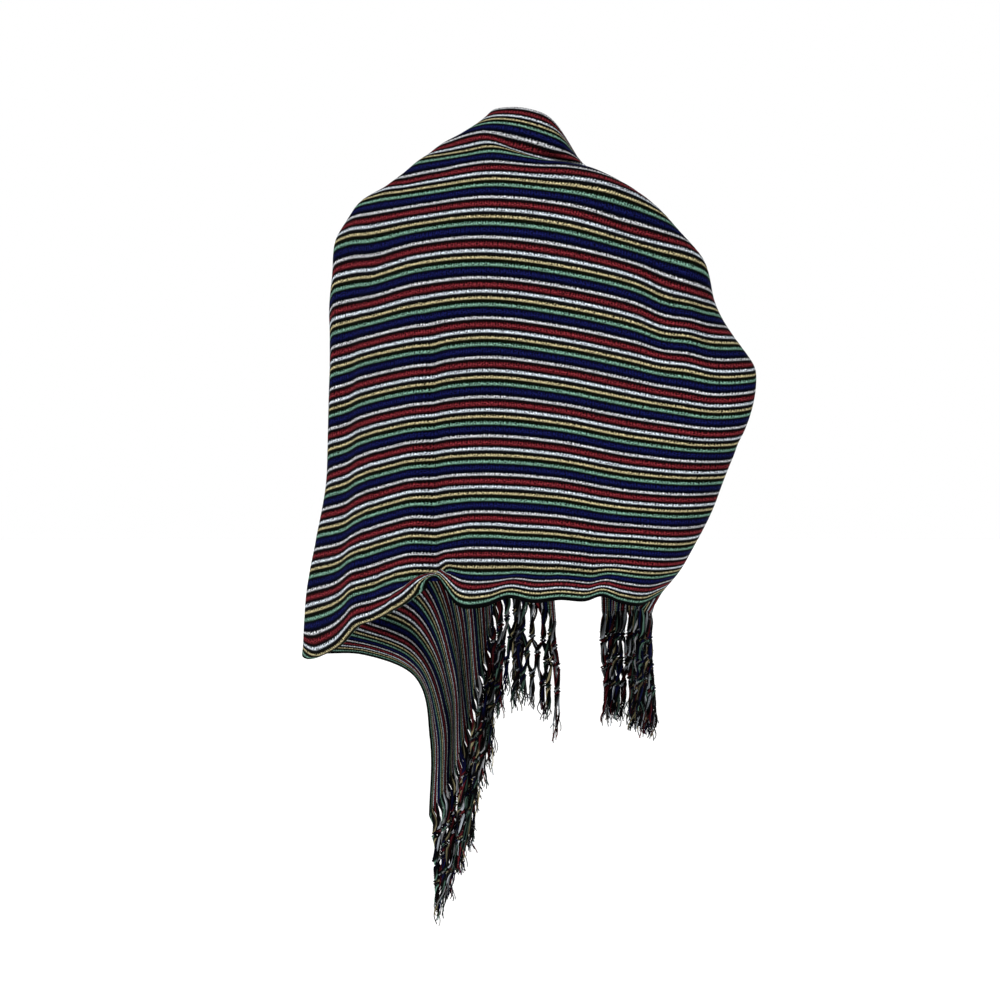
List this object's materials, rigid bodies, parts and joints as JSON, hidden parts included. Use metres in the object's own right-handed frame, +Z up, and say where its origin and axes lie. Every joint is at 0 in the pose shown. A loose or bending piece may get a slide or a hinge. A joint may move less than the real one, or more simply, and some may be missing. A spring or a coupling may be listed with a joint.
{
  "type": "shawl",
  "caption": "Striped woven shawl with knotted fringe on both ends, in the form it takes round a wearer's shoulders, right elbow out.",
  "frame": {"origin": "the middle of the base of the wearer's neck, which holds the shawl up together with the shoulders", "axes": "+X to the wearer's left, +Y to the wearer's back, +Z up"},
  "size_m": [0.6533, 0.3758, 1.0901],
  "materials": {
    "woven_cotton": "matt handwoven stripes in navy, red, white, yellow, green and black",
    "fringe_yarn": "matt twisted yarn, mixed stripe colours"
  },
  "bodies": {
    "root": {"shawl_back": "woven_cotton", "shawl_left_front": "woven_cotton", "shawl_right_front": "woven_cotton", "fringe_left": "fringe_yarn", "fringe_right": "fringe_yarn"}
  },
  "joints": []
}
